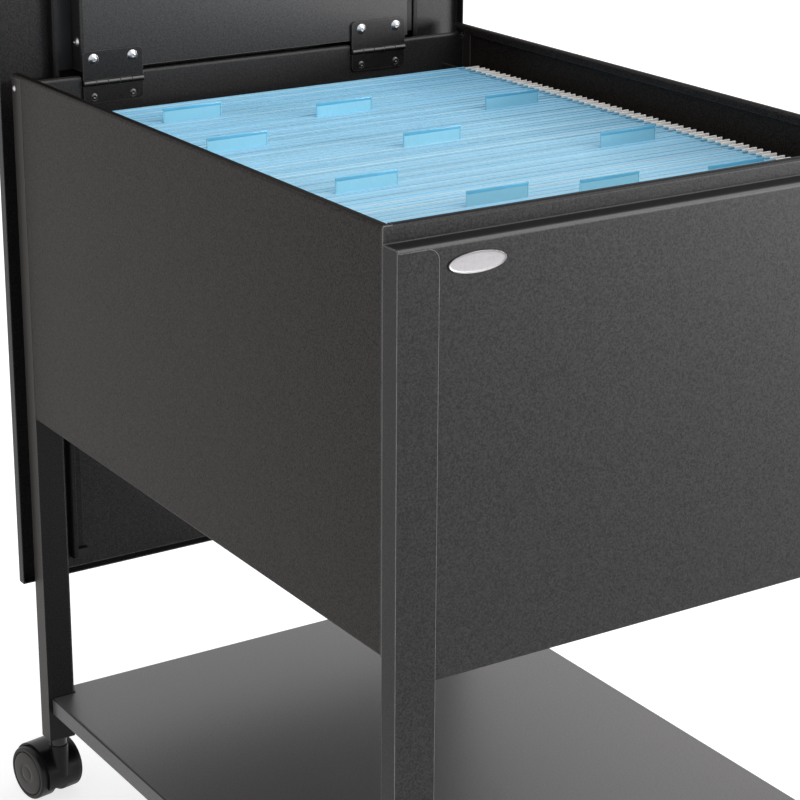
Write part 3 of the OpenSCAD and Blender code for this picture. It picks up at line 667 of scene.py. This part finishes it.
def make_tabs():
    sleeve, slip, roll = bmesh.new(), bmesh.new(), bmesh.new()
    r = ROLL_R * MM
    for lo, hi in islands("index_tabs"):
        slab(sleeve, moved(lo, y=SLEEVE_FRONT), moved(hi, z=-SLEEVE_TOP), SLEEVE_ROUND)
        slab(slip, moved(lo, SLIP_SIDE, SLIP_FRONT, SLIP_FOOT),
             moved(Vector((hi.x, lo.y, hi.z)), -SLIP_SIDE, SLIP_BACK, -SLIP_TOP), SLIP_ROUND)
        for x in (lo.x, hi.x - LIP_W * MM):
            slab(sleeve, moved(Vector((x, lo.y, lo.z)), z=LIP_FOOT),
                 moved(Vector((x, lo.y, hi.z)), LIP_W, LIP_T, -LIP_TOP), LIP_ROUND)
        end = hi.x - lo.x
        bend = ROLL_ROUND * MM
        profile = [(0, 0), (r * ROLL_END, 0), (r, bend), (r, end - bend), (r * ROLL_END, end), (0, end)]
        start = Vector((lo.x, (lo.y + hi.y) / 2, hi.z - r))
        along_x = placed(-UP, Vector((0, 1, 0)), Vector((1, 0, 0)), start)
        lathe(roll, profile, along_x @ Matrix.Diagonal((1, ROLL_PRESSED, 1, 1)), ROLL_STEPS)
    add_object("tab_sleeves", sleeve, [tab_plastic], "folders", ["index_tabs"])
    add_object("tab_slips", slip, [tab_paper], "folders", ())
    add_object("tab_rolls", roll, [tab_ridge], "folders", ())


make_tabs()


# Inner folders: sheets in each jacket and between the jackets

# Where the sheets of one folder stand across the pack, from the folder's middle, in mm
POCKET = (-3.08, 3.08)
BETWEEN = (6.1, 10.1)

# About how far apart the sheets are, the gap between two, how far their tops reach over the CAD sheet and
# how far their sides and feet stay inside it, in mm
SHEET_STEP = 0.79
SHEET_GAP = 0.02
SHEET_RISE = 9.45
SHEET_INSET = 3

# The sheets of one bundle have one tone, and differ in their tops by less than two bundles do, in mm
BUNDLE = 5
BUNDLE_SPREAD = 0.3
TOP_SPREAD = 0.06

# How far a top edge waves, in mm, in how many half waves, and the lean and thickness of a foot as shares
BOW = 0.12
HALF_WAVES = 1.5
SHEET_COLUMNS = 10
FOOT_LEAN = 0.22
FOOT_THICK = 0.5

# Pieces for the sheets' tones, and how often each comes
SHEET_TONES = (("inner_sheets_deep", paper_deep, 5), ("inner_sheets_pale", paper_pale, 4),
               ("inner_sheets_white", paper_white, 1))


def sheet(bm, x0, x1, mid, y, thick, top, low, wave):
    """One sheet standing in a folder: its top edge waves a little and its foot leans to the fold."""
    foot = mid + FOOT_LEAN * y
    rows = []
    for i in range(SHEET_COLUMNS + 1):
        share = i / SHEET_COLUMNS
        x = x0 + (x1 - x0) * share
        bow = wave * math.sin(math.pi * HALF_WAVES * share)
        rows.append([bm.verts.new(point) for point in (
            (x, mid + y + bow, top), (x, mid + y + thick + bow, top),
            (x, foot + FOOT_THICK * thick, low), (x, foot, low))])
    bridge(bm, rows)
    bm.faces.new(rows[0][::-1])
    bm.faces.new(rows[-1])


def make_papers():
    tones = [(bmesh.new(), name, material) for name, material, _ in SHEET_TONES]
    shares = [share for _, _, share in SHEET_TONES]
    boxes = islands("inner_folders")
    inset = SHEET_INSET * MM
    for n, (lo, hi) in enumerate(boxes):
        mid = (lo.y + hi.y) / 2
        for from_y, to_y in (POCKET, BETWEEN) if n < len(boxes) - 1 else (POCKET,):
            count = round((to_y - from_y) / SHEET_STEP)
            step = (to_y - from_y) / count
            for k in range(count):
                if k % BUNDLE == 0:
                    bm = rng.choices(tones, shares)[0][0]
                    side = rng.uniform(0, SHEET_INSET) * MM
                    lift = SHEET_RISE + rng.uniform(-BUNDLE_SPREAD, BUNDLE_SPREAD)
                    wave = rng.uniform(-BOW, BOW) * MM
                top = hi.z + (lift + rng.uniform(-TOP_SPREAD, TOP_SPREAD)) * MM
                sheet(bm, lo.x + side, hi.x - inset + side, mid, (from_y + k * step) * MM,
                      (step - SHEET_GAP) * MM, top, lo.z + inset, wave)
    for bm, name, material in tones:
        replaces = ["inner_folders"] if name == SHEET_TONES[0][0] else ()
        add_object(name, bm, [material], "folders", replaces)


make_papers()


# Rivets and screws: turned domed heads with a small dimple

HEAD_STEPS = 40
DOME_STEPS = 12
DOME_EDGE = 0.25
SKIRT = 0.3


def dome(head_r, head_h, shank_r, length, dimple, deep):
    """Profile in mm of a domed head whose top is at zero, its shank going down to -length. The dimple is
    given by its radius and depth."""
    ball = (head_r ** 2 + head_h ** 2) / (2 * head_h)
    inner, outer = dimple * 1.25, head_r - DOME_EDGE
    radii = [inner + (outer - inner) * i / DOME_STEPS for i in range(DOME_STEPS + 1)]
    cap = [(r, math.sqrt(ball ** 2 - r ** 2) - ball) for r in radii]
    brim = cap[0][1]
    hollow = [(0.0, brim - deep), (dimple * 0.55, brim - deep), (dimple * 0.9, brim - deep * 0.35),
              (dimple * 1.1, brim - 0.03)]
    skirt = [(head_r, SKIRT - head_h), (head_r, -head_h), (shank_r, -head_h)]
    return hollow + cap + skirt + [(shank_r, -length), (0.0, -length)]


def turned_heads(name, node, profile, material, body, out=None):
    """Replaces each head and shank of a node by a turned one that points along out, or else sideways away
    from the middle of the cart."""
    bm = bmesh.new()
    for lo, hi in islands(node):
        tip = (lo + hi) / 2
        axis = Vector(out or (-1 if tip.x < 0 else 1, 0, 0))
        i = 0 if axis.x else 1
        tip[i] = hi[i] if axis[i] > 0 else lo[i]
        lathe(bm, millimetres(profile), placed(UP, axis.cross(UP), axis, tip), HEAD_STEPS)
    add_object(name, bm, [material], body, [node], angle=50)


FORWARDS = (0, -1, 0)
turned_heads("hinge_rivet_heads", "hinge_rivets", dome(4.8, 2.6, 2.4, 7.0, 1.1, 1.1), metal_rivet,
             "lid_carrier", FORWARDS)
turned_heads("carrier_rivet_heads", "carrier_rivets", dome(4.4, 2.6, 2.4, 5.6, 1.0, 1.0), metal_rivet,
             "lid_carrier")
turned_heads("leg_rivet_heads", "leg_rivets", dome(2.5, 1.4, 1.5, 5.0, 0.5, 0.2), metal_rivet,
             "cart")
turned_heads("hinge_screw_heads", "hinge_screws", dome(3.4, 1.2, 1.75, 5.6, 1.2, 0.7), metal_dark,
             "cart", FORWARDS)


# Badge: a plain oval plate with a raised rim and a flat, brushed middle

# Its section from the middle over the rim to the back, as (share of the half height, share of the depth)
BADGE = [(0.0, 0.45), (0.70, 0.45), (0.86, 0.42), (0.885, 0.36), (0.905, 0.12), (0.93, 0.0), (0.965, 0.03),
         (0.985, 0.14), (1.0, 0.34), (1.0, 1.0), (0.0, 1.0)]
BADGE_STEPS = 96

# Where the painted shadow round the badge starts, as a share of the way out from the middle: the outermost
# faces take the dark finish, standing in for the shadow gap round the plate
PAINTED_SHADOW_FROM = 0.975


def make_badge():
    lo, hi = (Vector(corner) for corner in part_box("badge"))
    mid, half = (lo + hi) / 2, (hi - lo) / 2
    bm = bmesh.new()
    rings = []
    for share, depth in BADGE:
        y = lo.y + depth * (hi.y - lo.y)
        inset = (1 - share) * half.z
        wide, high = half.x - inset, half.z - inset
        oval = [(mid.x + wide * c, y, mid.z + high * s) for c, s in circle(BADGE_STEPS)]
        rings.append([bm.verts.new(point) for point in (oval if share else [(mid.x, y, mid.z)])])
    bridge(bm, rings, flip=True)
    # Painted shadow: the faces beyond that share get the dark finish.
    for face in bm.faces:
        centre = face.calc_center_median() - mid
        face.material_index = int(math.hypot(centre.x / half.x, centre.z / half.z) > PAINTED_SHADOW_FROM)
    add_object("badge_plate", bm, [badge_metal, metal_dark], "cart", ["badge"], angle=60)


make_badge()


# Floor and light

FLOOR_REACH = 12
FLOOR_DROP = 0.2 * MM
FLOOR_GLOW = 0.74
SKY = (0.97, 0.98, 1.0, 1)
SKY_STRENGTH = 0.45


def make_floor():
    """A floor that takes shadows and looks white."""
    s = FLOOR_REACH
    bm = bmesh.new()
    bm.faces.new([bm.verts.new(corner) for corner in ((-s, -s, 0), (s, -s, 0), (s, s, 0), (-s, s, 0))])
    mesh = bpy.data.meshes.new("floor")
    bm.to_mesh(mesh)
    bm.free()
    floor = bpy.data.objects.new("floor", mesh)
    floor.location.z = -FLOOR_DROP
    bpy.context.scene.collection.objects.link(floor)
    m = Material("floor")
    m.finish(grey(0.5), 0.9, Specular__IOR__Level=0.1)
    dark = m.add("ShaderNodeEmission", Color=grey(0.0), Strength=0.0)
    glow = m.add("ShaderNodeEmission", Color=grey(1.0), Strength=FLOOR_GLOW)
    both = m.add("ShaderNodeAddShader")
    m.link(m.bsdf.outputs[0], both.inputs[0])
    m.link(m.mix_shaders(m.looked_at(), dark.outputs[0], glow.outputs[0]), both.inputs[1])
    m.link(both.outputs[0], m.tree.nodes["Material Output"].inputs["Surface"])
    mesh.materials.append(m.material)


def make_world():
    """A soft sky that looks white."""
    world = bpy.data.worlds.new("world")
    world.use_nodes = True
    w = Tree(world.node_tree)
    w.tree.nodes.clear()
    sky = w.add("ShaderNodeBackground", Color=SKY, Strength=SKY_STRENGTH)
    white = w.add("ShaderNodeBackground", Color=grey(1.0), Strength=1.0)
    shown = w.mix_shaders(w.looked_at(), sky.outputs[0], white.outputs[0])
    w.link(shown, w.add("ShaderNodeOutputWorld").inputs["Surface"])
    bpy.context.scene.world = world


def lamp(name, kind, place, target, power, colour, **values):
    data = bpy.data.lights.new(name, kind)
    data.energy = power
    data.color = colour
    for key, value in values.items():
        setattr(data, key, value)
    obj = bpy.data.objects.new(name, data)
    obj.location = place
    obj.rotation_euler = (Vector(target) - Vector(place)).to_track_quat("-Z", "Y").to_euler()
    bpy.context.scene.collection.objects.link(obj)
    return obj


def sun(name, direction, strength, spread, colour):
    return lamp(name, "SUN", (0, 0, 0), direction, strength, colour, angle=math.radians(spread))


def area(name, place, target, size, power, colour=(1, 1, 1)):
    return lamp(name, "AREA", place, target, power, colour, shape="RECTANGLE", size=size[0], size_y=size[1])


def flag_off(light, node):
    """Keeps a light off one piece, as a studio flag does."""
    shaded = bpy.data.collections.new("flagged_" + node)
    shaded.objects.link(nodes[node])
    light.light_linking.receiver_collection = shaded
    shaded.collection_objects[0].light_linking.link_state = "EXCLUDE"


make_floor()
make_world()
sun("key", (-0.6, 0.5, -1.0), 1.8, 60, (1.0, 0.99, 0.97))
sun("side", (0.9, 0.5, -0.55), 0.2, 50, (1.0, 0.98, 0.95))
flag_off(area("front_right", (2.2, -2.0, 0.7), (0.1, 0, 0.6), (1.2, 0.8), 80), "shelf")
area("front_left", (-2.2, -1.55, 0.25), (-0.2, -0.3, 0.5), (0.5, 0.8), 9, (1.0, 0.98, 0.96))
